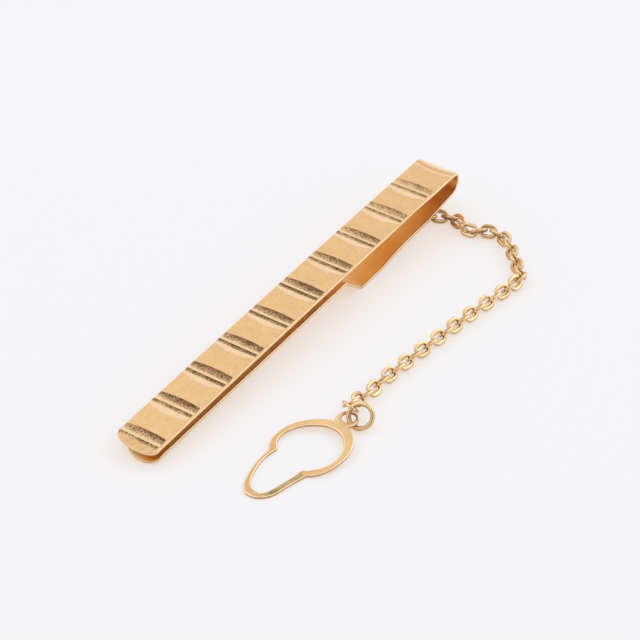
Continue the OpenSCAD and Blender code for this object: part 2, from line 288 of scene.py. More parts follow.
LONG_SCRATCH = (0.3, 7.0, 1.0)
satin = gold("satin_face", (0.96, 0.65, 0.335), (0.79, 0.50, 0.24), 0.36, 0.8, 3.6, 0.012,
             (0.35, 9.0, 1.0), mottle=0.6)
# The bright facets and the ridge in a paler gold than the face: painted highlight.
bright = gold("bright_cut", (1.0, 0.755, 0.495), (1.0, 0.705, 0.43), 0.28, 1.5, 6.0, 0.001,
              mottle=0.2)
ridge = gold("cut_ridge", (0.99, 0.77, 0.46), (0.91, 0.66, 0.36), 0.26, 1.8, 7.0, 0.002,
             (9.0, 0.5, 1.0), mottle=0.3)
# The cuts' dark facets: a painted dark reflection under gold flecks.
dark_wide = rough_cut("cut_wide_painted_dark", 0.30, 1.20, 0.20)
dark_line = rough_cut("cut_line_painted_dark", -0.80, -0.30, 0.26, 5.6, -0.16)
bar_tip = gold("scuffed_end", (0.93, 0.64, 0.35), (0.74, 0.46, 0.21), 0.3, 1.3, 3.2, 0.03,
               (1.4, 4.5, 1.0), mottle=0.5)
# The rounded edges and ends in a paler gold: a painted highlight.
edge_gold = gold("edge_painted_highlight", (0.99, 0.765, 0.50), (0.94, 0.69, 0.40), 0.3, 2.0, 7.0, 0.003)
# A painted dark line where the face meets its near rounded edge.
scribed = gold("edge_line_painted_dark", (0.80, 0.50, 0.30), (0.62, 0.38, 0.20), 0.4, 1.4, 6.0, 0.003)
leg_gold = gold("leg_face", (0.97, 0.645, 0.26), (0.92, 0.565, 0.205), 0.4, 0.7, 5.0, 0.004,
                LONG_SCRATCH)
tongue_gold = gold("tongue_face", (1.0, 0.70, 0.30), (0.98, 0.62, 0.235), 0.48, 0.7, 5.0, 0.004,
                   LONG_SCRATCH)
# A darker band along the leg's near edge, seen into the gap under the bar: painted shade.
leg_lip = gold("leg_lip", (0.62, 0.36, 0.15), (0.50, 0.27, 0.10), 0.36, 1.2, 6.0, 0.003)
# The heel's bend in a paler gold: a painted highlight.
heel_gold = gold("heel_bend_highlight", (1.0, 0.72, 0.46), (0.94, 0.61, 0.36), 0.36, 1.2, 6.0, 0.004)
wall_low = gold("edge_shade", (0.86, 0.56, 0.26), (0.74, 0.45, 0.19), 0.34, 1.2, 6.0, 0.003)
fold_gold = fold_skin("fold_skin")
# The inside of the fold in a darker gold: painted shade.
fold_inside = gold("fold_inside", (0.80, 0.46, 0.175), (0.66, 0.355, 0.125), 0.42, 1.0, 5.0,
                   0.004)
# The spoon's olive toward the far side is a painted reflection.
spoon = spoon_skin("spoon_painted_reflection")
# Each wire's third colour is painted shade along the inner side of its bends.
wire_gold = wire_skin("chain_wire", (0.88, 0.63, 0.37), (0.75, 0.50, 0.26), (0.50, 0.30, 0.13),
                      0.2, -0.65)
ring_gold = wire_skin("ring_wire", (0.97, 0.73, 0.43), (0.82, 0.55, 0.26), (0.45, 0.29, 0.12),
                      0.14, -0.45)
loop_gold = loop_skin("loop_face")
# Upper rim paler: a painted highlight. Wall browner: a painted dark reflection.
loop_rim = gold("loop_rim", (1.0, 0.86, 0.60), (1.0, 0.78, 0.49), 0.34, 1.0, 6.0, 0.003)
loop_wall = gold("loop_wall", (0.74, 0.45, 0.23), (0.56, 0.32, 0.14), 0.4, 1.0, 6.0, 0.003)
solder = gold("solder", (0.82, 0.55, 0.26), (0.62, 0.38, 0.17), 0.26, 2500.0, 9000.0, 0.008,
              layer=None)

# The strip's materials in the order of its slots, and the slots' names
STRIP_SKINS = [satin, bright, dark_wide, dark_line, edge_gold, leg_gold, ridge, bar_tip,
               scribed, fold_gold, leg_lip, heel_gold, wall_low, fold_inside, spoon, tongue_gold]
(SATIN, BRIGHT, WIDE, LINE, EDGE, LEG_FACE, RIDGE, BAR_TIP,
 DARK_EDGE_LINE, FOLD, LEG_LIP, HEEL_BEND, WALL_LOW, FOLD_INSIDE, SPOON, TONGUE) = range(16)


# ---------------------------------------------------------------- mesh helpers
def write_uv(mesh, name, uvs):
    """A UV layer from one pair of numbers for each vertex."""
    layer = mesh.uv_layers.new(name=name)
    idx = np.empty(len(mesh.loops), dtype=np.int32)
    mesh.loops.foreach_get("vertex_index", idx)
    layer.data.foreach_set("uv", np.asarray(uvs, dtype=np.float32)[idx].ravel())


def points_of(mesh):
    co = np.empty(len(mesh.vertices) * 3)
    mesh.vertices.foreach_get("co", co)
    return co.reshape(-1, 3)


def new_piece(name, verts, faces, mats, slots, layers):
    mesh = bpy.data.meshes.new(name)
    mesh.from_pydata([tuple(v) for v in verts], [], faces)
    for mat in mats:
        mesh.materials.append(mat)
    mesh.polygons.foreach_set("material_index", slots)
    mesh.polygons.foreach_set("use_smooth", [True] * len(mesh.polygons))
    for layer_name, uvs in layers.items():
        write_uv(mesh, layer_name, uvs)
    mesh.update()
    return add_object(name, mesh)


def around(count):
    """Each place on a closed outline with the next one."""
    return [(i, (i + 1) % count) for i in range(count)]


def closed_tube(name, verts, place, turns, sides, mat):
    faces = [(q * sides + k, w * sides + k, w * sides + t, q * sides + t)
             for q, w in around(turns) for k, t in around(sides)]
    return new_piece(name, verts, faces, [mat], [0] * len(faces), {"surface": place})


# ---------------------------------------------------------------- the strip's side profile
STRIP_W, STRIP_T, EDGE_R = 6.0, 0.38, 0.075
HALF_W = STRIP_W / 2
# Where the rounded edges start, across the strip and from the middle of its thickness
FLAT_Y, FLAT_D = HALF_W - EDGE_R, STRIP_T / 2 - EDGE_R
BAR_LEN, BAR_ARCH, BAR_STEPS = 66.0, 0.2, 300
FOLD_TURN = 174.0
# How the strip's own frame, with its origin on top of the fold, lies in the resting frame
SHIFT_X, SHIFT_Y = 32.0801, 8.83216
TILT, LIFT = math.radians(3.40557), 5.87369


def bend(radius, turn):
    """Length and turn of a round bend."""
    return radius * math.radians(abs(turn)), turn


# Stretches of the leg from the bar on: length, and turn in degrees. The first three are the
# fold, tight at its top and slow below; together they turn FOLD_TURN.
LEG = [(0.66, -9), bend(0.75, -61), bend(1.7787, -104), (5.5066, 0), (1.5, FOLD_TURN - 180),
       (4.1, 0), (2.8, 7.5), (2.0, 0), (2.8, -7.5), (3.1, 0),
       bend(0.6, -39.5), (4.36, 0), bend(0.6, 39.5), (37.6, 0), (2.1, 26)]
BEFORE_HEEL = 10
TURN_STEP, LENGTH_STEP = 2.0, 0.25


def bow_radius(half, rise):
    return (half ** 2 + rise ** 2) / (2 * rise)


def walk(x, z, a, length, turn, count):
    """Points and headings after each step along a stretch that turns evenly."""
    out = []
    for _ in range(count):
        step, dt = length / count, turn / count
        x += step * math.cos(a + dt / 2)
        z += step * math.sin(a + dt / 2)
        a += dt
        out.append((x, z, a))
    return out


def profile():
    """Centre line from the bar's free end over the fold to the tip: x, z and heading."""
    lean = math.asin(BAR_LEN / 2 / bow_radius(BAR_LEN / 2, BAR_ARCH))
    start = (0.0, -STRIP_T / 2)
    bar = [(*start, math.pi - lean)]
    bar += walk(*bar[0], BAR_LEN, 2 * lean, BAR_STEPS)
    line = [(x, z, a - math.pi) for x, z, a in bar[::-1]]
    here = (*start, 0.0)
    for length, turn in LEG:
        count = max(math.ceil(abs(turn) / TURN_STEP), math.ceil(length / LENGTH_STEP))
        line += walk(*here, length, math.radians(turn), count)
        here = line[-1]
    line = np.array(line)
    steps = np.hypot(np.diff(line[:, 0]), np.diff(line[:, 1]))
    return np.concatenate([[0], np.cumsum(steps)]), line


S, PROFILE = profile()
S_FOLD, S_END = float(S[BAR_STEPS]), float(S[-1])
S_HEEL = S_FOLD + sum(length for length, _ in LEG[:BEFORE_HEEL])


def seat(x, y, z):
    """From the strip's own frame to the resting frame, in metres."""
    return np.stack([x * math.cos(TILT) - z * math.sin(TILT) + SHIFT_X,
                     y + SHIFT_Y,
                     x * math.sin(TILT) + z * math.cos(TILT) + LIFT], -1) * MM


# Each end's outline: the depth of its bow, its corners' radius and its slant in degrees
BAR_END, TIP_END = (0.8, 1.25, 4.5), (1.8, 1.0, 16)
# The length over which the outline's offset runs out
END_RUN = 5.0


def stand_back(y, bow, corner, slant):
    """How far an end's outline stands back at each place across the strip."""
    r = bow_radius(HALF_W, bow)
    dy = HALF_W - corner
    dx = math.sqrt((r - corner) ** 2 - dy ** 2)
    middle = r - np.sqrt(np.maximum(r * r - y * y, 0))
    side = r - dx - np.sqrt(np.maximum(corner * corner - (np.abs(y) - dy) ** 2, 0))
    back = np.where(np.abs(y) <= r * dy / (r - corner), middle, side)
    back = back + y * math.tan(math.radians(slant))
    return back - back.min()


# ---------------------------------------------------------------- the cut bands
# Two grooves either side of a straight ridge, with bowed outer borders, the wide groove
# toward the fold. From a band's own place: its bottom, the ridge, the other one's bottom,
# and the middle of the whole.
WIDE_X, RIDGE_A, RIDGE_B, LINE_X = 0.30, 0.03, -0.23, -0.80
BAND_MIDDLE = -0.2
# Where the cuts run out before the near edge, and over what width
NEAR_STOP, NEAR_RUN = -2.74, 0.07
BAND_FIRST, BAND_PITCH, BAND_COUNT = -64.0, 6.48, 10
BAND_X = [BAND_FIRST + BAND_PITCH * i for i in range(BAND_COUNT)]
BANDS = [dict(x=x, wide=1.36 + band_rng.uniform(-0.06, 0.06),
              light=1.74 + band_rng.uniform(-0.08, 0.06),
              deep=0.1 + band_rng.uniform(-0.01, 0.008),
              near=NEAR_STOP + band_rng.uniform(-0.02, 0.05)) for x in BAND_X]
# The narrow groove's depth as a share of the wide one's
LINE_SHARE = 0.8
# The scribed arc's way before the fold, from where on places are told from the arc, and
# the shallow hollow beyond it
ARC_BEFORE_FOLD, TOLD_FROM_ARC = 0.7, 1.6
HOLLOW_DEEP, HOLLOW_SLOPE, HOLLOW_END = 0.05, 0.06, 1.2
TINY = 1e-6


def wide_border(b, y):
    return b["wide"] - 0.30 * ((y + 0.2) / 3.2) ** 2


def light_border(b, y):
    c = np.where(y > -0.2, 0.5, 0.82)
    return -b["light"] + c * ((y + 0.1) / 2.9) ** 2


def past_arc(way, y):
    """How far beyond the scribed arc a place is, from its way beyond the fold."""
    return way + ARC_BEFORE_FOLD - 0.45 * ((y + 0.1) / 2.9) ** 2


def run_out(y, stop):
    return np.clip((y - stop) / NEAR_RUN, 0, 1)


def cut_depth(x, y):
    """Depth of the cuts below the bar's face, and the slot of the facet each place is on."""
    depth = np.zeros_like(x)
    facet = np.full(x.shape, SATIN)
    for b in BANDS:
        u = x - b["x"]
        wide_end, light_end = wide_border(b, y), light_border(b, y)
        wide_deep = b["deep"] * (wide_end - WIDE_X) / (b["wide"] - WIDE_X)
        line_deep = LINE_SHARE * b["deep"] * (LINE_X - light_end) / (LINE_X + b["light"])
        near = run_out(y, b["near"])
        for inside, slot, deep in (
                ((u >= WIDE_X) & (u < wide_end), WIDE,
                 wide_deep * (wide_end - u) / np.maximum(wide_end - WIDE_X, TINY)),
                ((u >= RIDGE_A) & (u < WIDE_X), BRIGHT,
                 wide_deep * (u - RIDGE_A) / (WIDE_X - RIDGE_A)),
                ((u > RIDGE_B) & (u < RIDGE_A), RIDGE, 0),
                ((u > LINE_X) & (u <= RIDGE_B), LINE,
                 line_deep * (RIDGE_B - u) / (RIDGE_B - LINE_X)),
                ((u > light_end) & (u <= LINE_X), BRIGHT,
                 line_deep * (u - light_end) / np.maximum(LINE_X - light_end, TINY))):
            depth = np.where(inside, np.maximum(depth, deep * near), depth)
            facet = np.where(inside & (near > 0.5), slot, facet)
    past = past_arc(x, y)
    hollow = np.minimum(HOLLOW_DEEP, HOLLOW_SLOPE * past) * run_out(y, NEAR_STOP)
    return np.where((past > 0) & (x < HOLLOW_END), hollow, depth), facet


def band_place(x, s, y):
    """Offset from the nearest ridge, or near the fold the way past the scribed arc."""
    u = np.stack([x - b["x"] for b in BANDS])
    u = np.take_along_axis(u, np.abs(u - BAND_MIDDLE).argmin(0)[None], 0)[0]
    return np.where(s > S_FOLD - TOLD_FROM_ARC, past_arc(s - S_FOLD, y), u)


# ---------------------------------------------------------------- the strip
END_STEPS = [0, 0.012, 0.03, 0.05, EDGE_R]
# A band's even stations: first, end and step
BAND_STATIONS = (-1.95, 1.6, 0.055)
# Stretches of even stations: where each starts, and its step
STRETCHES = [(0.4, 0.7), (S_FOLD - 1.0, 0.085), (S_FOLD + 4.6, 0.4), (S_FOLD + 12.5, 0.4),
             (S_HEEL - 0.2, 0.045), (S_HEEL + 0.7, 0.4), (S_HEEL + 4.6, 0.045),
             (S_HEEL + 5.5, 0.8), (S_END - 3.0, 0.12)]
# Stations closer than this to the one before are left out
LEAST_STEP = 0.006
# Each crease of a band has a station on it and one just beyond, and no others close by
CREASE_STEP, CREASE_CLEAR = 0.012, 0.02


def stations():
    """Places along the strip: close together in the cut bands and bends."""
    creases = [LINE_X, RIDGE_B, RIDGE_A, WIDE_X]
    us = [u for u in np.arange(*BAND_STATIONS)
          if all(abs(u - m) > CREASE_CLEAR for m in creases)]
    us += creases + [m + CREASE_STEP for m in creases]
    out = END_STEPS + [S_END - s for s in END_STEPS]
    bar = slice(0, BAR_STEPS + 1)
    for x in BAND_X:
        in_band = np.interp([x + u for u in us], PROFILE[bar, 0], S[bar])
        out += [s for s in in_band if s > EDGE_R + CREASE_CLEAR]
    ends = [start for start, _ in STRETCHES[1:]] + [S_END - EDGE_R]
    for (start, step), end in zip(STRETCHES, ends):
        out += list(np.arange(start, end, step))
    out.sort()
    keep = [out[0]]
    for s in out[1:]:
        if s - keep[-1] > LEAST_STEP:
            keep.append(s)
    keep[-1] = S_END
    return np.array(keep)


CORNER_STEPS = 3
# The painted dark line along the near edge of the face, and the painted shade of the leg's lip
DARK_LINE_OUT, DARK_LINE_IN, LIP_Y = -2.885, -2.84, -2.80


def section():
    """The strip's outline in section: place across, height and side of each point, from the
    far end of the outer face to its near end, over the inner face and back."""
    def corner(side, level, turns):
        return [(side * (FLAT_Y + EDGE_R * math.sin(c)),
                 level * (FLAT_D + EDGE_R * math.cos(c)), "edge") for c in turns]

    outer_y = [-FLAT_Y, DARK_LINE_OUT, DARK_LINE_IN, -2.77, -2.70, *np.linspace(-2.62, FLAT_Y, 38)]
    inner_y = [-FLAT_Y, LIP_Y, *np.linspace(-2.4, FLAT_Y, 9)]
    turns = [math.pi / 2 * (i + 1) / (CORNER_STEPS + 1) for i in range(CORNER_STEPS)]
    points = [(y, STRIP_T / 2, "outer") for y in outer_y[::-1]]
    points += corner(-1, 1, turns)
    points += [(-HALF_W, d, "edge") for d in (FLAT_D, 0.01, -FLAT_D)]
    points += corner(-1, -1, turns[::-1])
    points += [(y, -STRIP_T / 2, "inner") for y in inner_y]
    points += corner(1, -1, turns)
    points += [(HALF_W, d, "edge") for d in (-FLAT_D, FLAT_D)]
    points += corner(1, 1, turns[::-1])
    return [np.array(column) for column in zip(*points)]


def end_wall(sec_y, sec_d):
    """Triangles that zip the upper and the lower row of the section's outline together."""
    def row(inside):
        return sorted(np.flatnonzero(inside).tolist(),
                      key=lambda j: (sec_y[j], math.copysign(abs(sec_d[j]), sec_y[j])))

    upper, lower = row(sec_d > 0), row(sec_d < 0)
    tris = []
    u = w = 0
    while u < len(upper) - 1 or w < len(lower) - 1:
        if w == len(lower) - 1 or (u < len(upper) - 1
                                   and sec_y[upper[u + 1]] <= sec_y[lower[w + 1]]):
            tris.append((upper[u], lower[w], upper[u + 1]))
            u += 1
        else:
            tris.append((upper[u], lower[w], lower[w + 1]))
            w += 1
    return tris


# The skin is drawn in to this share of the thickness, so that it stays inside the solids
DRAWN_IN = 0.962
# The inner face's noise is taken this far off, so that it doesn't repeat the outer face's
INNER_UV = 9.0
STRIP_SHARP = math.radians(14)
# Where the cuts and the materials begin and end, as places along the strip
CUTS_END = S_FOLD + 1.2
TIP_BEFORE_BAND = 0.8
DARK_LINE_END = S_FOLD + 0.3
FOLD_START, FOLD_END, ARC_START = S_FOLD - 1.3, S_FOLD + 3.0, -0.35
INSIDE_START, INSIDE_END = S_FOLD - 0.6, S_FOLD + 4.0
UNDERSIDE_END, TONGUE_START, SPOON_START = S_FOLD - 14, S_HEEL + 5, S_END - 3.4
HEEL_START, HEEL_SLANT, HEEL_END = S_HEEL - 0.1, 0.3, S_HEEL + 0.5


def build_strip():
    st = stations()
    sec_y, sec_d, side = section()
    m, n = len(sec_y), len(st)
    ss, yy = np.repeat(st[:, None], m, 1), np.repeat(sec_y[None, :], n, 0)
    to_end = S_END - ss
    sb = (ss + stand_back(sec_y, *BAR_END) * np.clip(1 - ss / END_RUN, 0, None)
          - stand_back(sec_y, *TIP_END) * np.clip(1 - to_end / END_RUN, 0, None))
    # rounded edges round both ends
    near_end = np.minimum(ss, to_end)
    rounding = EDGE_R - np.sqrt(np.maximum(EDGE_R ** 2 - (EDGE_R - near_end) ** 2, 0))
    thinner = np.where(near_end < EDGE_R, rounding, 0)
    dd = DRAWN_IN * np.sign(sec_d) * np.maximum(np.abs(sec_d) - thinner, 0.0)
    x, z, a = (np.interp(sb, S, PROFILE[:, i]) for i in range(3))
    has_cuts = (sb < CUTS_END) & (sec_d > FLAT_D - TINY)
    dd = dd - np.where(has_cuts, cut_depth(x, yy)[0], 0)
    verts = seat(x - dd * np.sin(a), yy, z + dd * np.cos(a)).reshape(-1, 3)
    place = np.stack([sb, yy + np.where(dd < 0, INNER_UV, 0.0)], -1)
    band = np.stack([band_place(x, sb, yy), yy], -1)
    faces = [(i * m + j, i * m + q, (i + 1) * m + q, (i + 1) * m + j)
             for i in range(n - 1) for j, q in around(m)]

    # each face's material, from where its middle is
    def middle(v):
        w = np.roll(v, -1, 1)
        return (v[:-1] + v[1:] + w[:-1] + w[1:]) / 4

    cx, cy = middle(x), middle(yy)
    cs = (sb[:-1] + sb[1:]) / 2
    cd = (sec_d + np.roll(sec_d, -1)) / 2
    facet = cut_depth(cx, cy)[1]
    outer, inner = ((side == name) & (np.roll(side, -1) == name) for name in ("outer", "inner"))
    far_bevel = np.arange(m) >= m - CORNER_STEPS - 1
    near_corner = (sec_y < -FLAT_Y) & (cd < -0.02)
    # faces off the two faces take the edges' painted highlight
    slots = np.full(cx.shape, EDGE)
    for here, slot in (
            (outer, SATIN),
            ((outer | far_bevel) & (cs < S_FOLD) & (facet != SATIN), facet),
            (outer & (cx < BAND_X[0] - TIP_BEFORE_BAND)
             & ((facet == SATIN) | (facet == BRIGHT)), BAR_TIP),
            # the painted dark line along the near edge
            (outer & (cs < DARK_LINE_END) & (cy < DARK_LINE_IN) & (cy > DARK_LINE_OUT), DARK_EDGE_LINE),
            ((outer & (cy > DARK_LINE_IN) | far_bevel) & (cs > FOLD_START) & (cs < FOLD_END)
             & (past_arc(cs - S_FOLD, cy) > ARC_START), FOLD),
            (inner, LEG_FACE),
            (inner & ((cs < UNDERSIDE_END) | (cs > TONGUE_START)), TONGUE),
            # painted shade inside the fold
            (inner & (cs > INSIDE_START) & (cs < INSIDE_END), FOLD_INSIDE),
            (inner & (cs > SPOON_START), SPOON),
            # the heel's painted highlight
            (inner & (cs > HEEL_START - HEEL_SLANT * (cy + HALF_W)) & (cs < HEEL_END),
             HEEL_BEND),
            (near_corner & (cs < S_FOLD), WALL_LOW),
            # painted shade along the leg's near edge
            (inner & (cy < LIP_Y) & (cs > FOLD_END) & (cs < SPOON_START), LEG_LIP)):
        slots = np.where(here, slot, slots)
    slots = slots.reshape(-1).tolist()

    wall = end_wall(sec_y, sec_d)
    last = (n - 1) * m
    faces += wall + [tuple(last + j for j in tri[::-1]) for tri in wall]
    slots += [EDGE] * (2 * len(wall))
    obj = new_piece("clip_strip", verts, faces, STRIP_SKINS, slots,
                    {"surface": place.reshape(-1, 2), "band": band.reshape(-1, 2)})
    obj.data.set_sharp_from_angle(angle=STRIP_SHARP)
    return obj


strip = build_strip()
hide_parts("front_bar", "spring_leg")
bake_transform(strip)


# ---------------------------------------------------------------- chain
LINKS = 39
LINK_WIRE, LINK_IN_L, LINK_IN_W = 0.42, 1.70, 1.11
# The wire is filed a little flat: a power below 1 squares its section
SQUARED = 0.72
# Half its height, as a share of the wire, and its reach outward as a share of half of it,
# with what the reach inward has on top of that along the link's sides
HALF_HEIGHT, REACH_OUT, MORE_INWARD = 0.46, 0.95, 0.78
HALF_TURN_POINTS, LINK_SIDES = 22, 16
LINK_UV_STEP = 0.16
joint_of = {j["child"]: j for j in frame["record"]["behaviour"]["joints"]}


def unit(v):
    return v / np.linalg.norm(v)


def link_node(i):
    return f"chain_link_{i:02d}"


def link_frame(i):
    """Centre and axes of link i, from its solid and the joint that the next piece turns on."""
    pts = points_of(frame["nodes"][link_node(i)].data)
    centre = (pts.min(0) + pts.max(0)) / 2
    following = joint_of[link_node(i + 1) if i < LINKS else "jump_ring"]
    along = unit(np.array(following["pos_m"]) - centre)
    side = np.array(following["axis"], float)
    side = unit(side - along * np.dot(side, along))
    return centre, along, side, np.cross(along, side)


def squared(v):
    return math.copysign(abs(v) ** SQUARED, v)


def build_link(i):
    centre, along, side, up = link_frame(i)
    r = LINK_IN_W / 2 + LINK_WIRE / 2
    straight = (LINK_IN_L - LINK_IN_W) / 2
    uv_start = rng.uniform(0, 40)
    turns = 2 * HALF_TURN_POINTS
    verts, place = [], []
    for q in range(turns):
        end = 1 if q < HALF_TURN_POINTS else -1
        a = -math.pi / 2 + math.pi * (q % HALF_TURN_POINTS) / (HALF_TURN_POINTS - 1)
        c, s = end * math.cos(a), end * math.sin(a)
        out = along * c + side * s
        middle = centre + (along * (end * straight + r * c) + side * (r * s)) * MM
        for k in range(LINK_SIDES):
            b = 2 * math.pi * k / LINK_SIDES
            outward, upward = squared(math.cos(b)), squared(math.sin(b))
            reach = REACH_OUT if outward > 0 else REACH_OUT + MORE_INWARD * s ** 4
            verts.append(middle + (out * outward * 0.5 * LINK_WIRE * reach
                                   + up * upward * HALF_HEIGHT * LINK_WIRE) * MM)
            place.append((uv_start + abs(q - turns / 2) * LINK_UV_STEP, math.cos(b)))
    obj = closed_tube(f"link_{i:02d}", verts, place, turns, LINK_SIDES, wire_gold)
    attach(obj, link_node(i))
    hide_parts(link_node(i))


for number in range(1, LINKS + 1):
    build_link(number)


# ---------------------------------------------------------------- jump ring
RING_OUT, RING_WIRE = 3.5, 0.58
RING_TURNS, RING_SIDES = 72, 20
RING_UV_STEP = 0.13


def build_ring():
    pts = points_of(frame["nodes"]["jump_ring"].data)
    centre = pts.mean(0)
    _, _, axes = np.linalg.svd(pts - centre, full_matrices=False)
    first, normal = axes[0], axes[2]
    second = np.cross(normal, first)
    half = RING_WIRE / 2
    r = (RING_OUT - RING_WIRE) / 2
    verts, place = [], []
    for i in range(RING_TURNS):
        a = 2 * math.pi * i / RING_TURNS
        out = first * math.cos(a) + second * math.sin(a)
        for k in range(RING_SIDES):
            b = 2 * math.pi * k / RING_SIDES
            verts.append(centre + (out * (r + half * math.cos(b))
                                   + normal * (half * math.sin(b))) * MM)
            place.append((abs(i - RING_TURNS / 2) * RING_UV_STEP, math.cos(b)))
    obj = closed_tube("ring", verts, place, RING_TURNS, RING_SIDES, ring_gold)
    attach(obj, "jump_ring")
    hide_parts("jump_ring")


build_ring()

# ---------------------------------------------------------------- anchor eye
eye = frame["nodes"]["anchor_eye"]
eye.data.materials.clear()
eye.data.materials.append(solder)


# ---------------------------------------------------------------- button loop
# The ear's hole and the middle of the bend, in the resting frame
HOLE = np.array([-13.7709, -7.74294, 0.979237])
BEND = np.array([-23.7248, -4.88874, 0.0])
# The part with the ear and the large eye is tilted down to the bend, the rest lies flat. The
# outline is turned by SKEW about the ear's hole.
LOOP_TILT, BEND_HEADING, SKEW = math.radians(4.52078), math.radians(164), math.radians(10)
LOOP_T, LOOP_RIM, BEND_AWAY, BEND_RUN = 0.32, 0.12, 10.4, 0.5
# The ear's radius, how far its middle is beyond the hole's, the hole, and the arc in degrees
EAR_R, EAR_BACK, EAR_HOLE = 1.4, 0.26, 1.72
EAR_FROM, EAR_SWEEP, EAR_STEPS = 52, 256, 32
# The sheet's outline and its opening, seen from above with the ear's hole at 0, 0
OUTER = [(1.33, -0.66), (1.66, -1.65), (2.26, -2.61), (2.95, -3.35), (3.75, -3.99),
         (4.56, -4.45), (5.56, -4.79), (6.60, -4.92), (7.64, -4.88), (8.47, -4.70),
         (9.13, -4.36), (9.72, -3.92), (10.13, -3.74), (10.98, -3.66), (11.96, -3.56),
         (13.05, -3.28), (14.10, -2.95), (15.27, -2.50), (16.07, -2.14), (16.76, -1.68),
         (17.22, -1.13), (17.42, -0.60), (17.42, -0.05), (17.18, 0.62), (16.60, 1.28),
         (15.84, 1.70), (15.00, 1.90), (14.07, 1.98), (12.59, 2.14), (11.3, 2.34),
         (10.63, 2.5), (10.18, 2.98), (9.50, 3.46), (8.60, 3.87), (7.51, 4.12),
         (6.42, 4.2), (5.28, 4.12), (4.38, 3.90), (3.46, 3.50), (2.65, 2.95),
         (1.95, 2.22), (1.5, 1.55), (1.33, 1.05)]
INNER = [(2.56, 0.05), (2.59, 0.43), (2.74, 0.98), (3.08, 1.62), (3.63, 2.24),
         (4.39, 2.84), (5.31, 3.24), (6.01, 3.39), (6.78, 3.42), (7.67, 3.30),
         (8.52, 2.93), (9.34, 2.42), (9.86, 2.0), (10.06, 1.70), (10.28, 1.46),
         (10.63, 1.39), (11.03, 1.42), (11.84, 1.39), (13.26, 1.22), (14.33, 1.12),
         (15.06, 1.04), (15.73, 0.89), (16.12, 0.65), (16.36, 0.30), (16.43, -0.12),
         (16.37, -0.54), (16.21, -0.95), (15.95, -1.32), (15.32, -1.80), (14.55, -2.20),
         (13.58, -2.60), (12.62, -2.92), (11.76, -3.10), (10.81, -3.20), (9.86, -3.17),
         (9.30, -3.10), (9.02, -3.29), (8.42, -3.83), (7.74, -4.13), (6.87, -4.24),
         (6.02, -4.10), (5.09, -3.73), (4.32, -3.21), (3.69, -2.57), (3.14, -1.87),
         (2.72, -1.06), (2.58, -0.4)]
CURVE_STEPS = 4
HOLE_STEPS = 40
# Cuts across the sheet, so that it can bend: close at the bend, wider on both sides of it
LOOP_CUTS = ([BEND_AWAY - 0.3 + 0.1 * k for k in range(7)] + [1.2 + 0.8 * k for k in range(10)]
             + [11.2 + 0.7 * k for k in range(8)])
# Cosine between a face and the sheet: above the first it is the sheet's own face, above the
# second the upper rim, and below it the wall
IS_FACE, IS_RIM = 0.995, 0.6
# Points of the blank closer than this are one, and how far its wall is drawn out in the noise
MERGE, WALL_UV = 0.002, 3.0
LOOP_SHARP = math.radians(28)


def smooth_ring(pts):
    """Closed curve through the points."""
    p = np.array(pts, float)
    n = len(p)
    out = []
    for i in range(n):
        p0, p1, p2, p3 = p[i - 1], p[i], p[(i + 1) % n], p[(i + 2) % n]
        for k in range(CURVE_STEPS):
            t = k / CURVE_STEPS
            out.append(0.5 * ((2 * p1) + (p2 - p0) * t
                              + (2 * p0 - 5 * p1 + 4 * p2 - p3) * t * t
                              + (3 * p1 - p0 - 3 * p2 + p3) * t ** 3))
    return np.array(out)


def loop_blank():
    """The flat sheet with its rounded rim."""
    # without the short stretch from the last point to the first, where the ear comes in
    outer = smooth_ring(OUTER)[:(len(OUTER) - 1) * CURVE_STEPS + 1]
    turn = np.radians(EAR_FROM + EAR_SWEEP * np.arange(EAR_STEPS + 1) / EAR_STEPS)
    ear = np.stack([EAR_BACK + EAR_R * np.cos(turn), EAR_R * np.sin(turn)], -1)
    turns = [2 * math.pi * k / HOLE_STEPS for k in range(HOLE_STEPS)]
    hole = [(EAR_HOLE / 2 * math.cos(a), EAR_HOLE / 2 * math.sin(a)) for a in turns]
    curve = bpy.data.curves.new("loop_blank", "CURVE")
    curve.dimensions = "2D"
    curve.fill_mode = "BOTH"
    curve.extrude = LOOP_T / 2 - LOOP_RIM
    curve.bevel_depth = LOOP_RIM
    curve.bevel_resolution = 3
    curve.offset = -LOOP_RIM
    for ring in (np.concatenate([outer, ear], 0), smooth_ring(INNER), hole):
        spline = curve.splines.new("POLY")
        spline.points.add(len(ring) - 1)
        for point, (x, y) in zip(spline.points, ring):
            point.co = (x, y, 0, 1)
        spline.use_cyclic_u = True
    blank = add_object("loop_blank", curve)
    graph = bpy.context.evaluated_depsgraph_get()
    mesh = bpy.data.meshes.new_from_object(blank.evaluated_get(graph))
    bpy.data.objects.remove(blank)
    return mesh


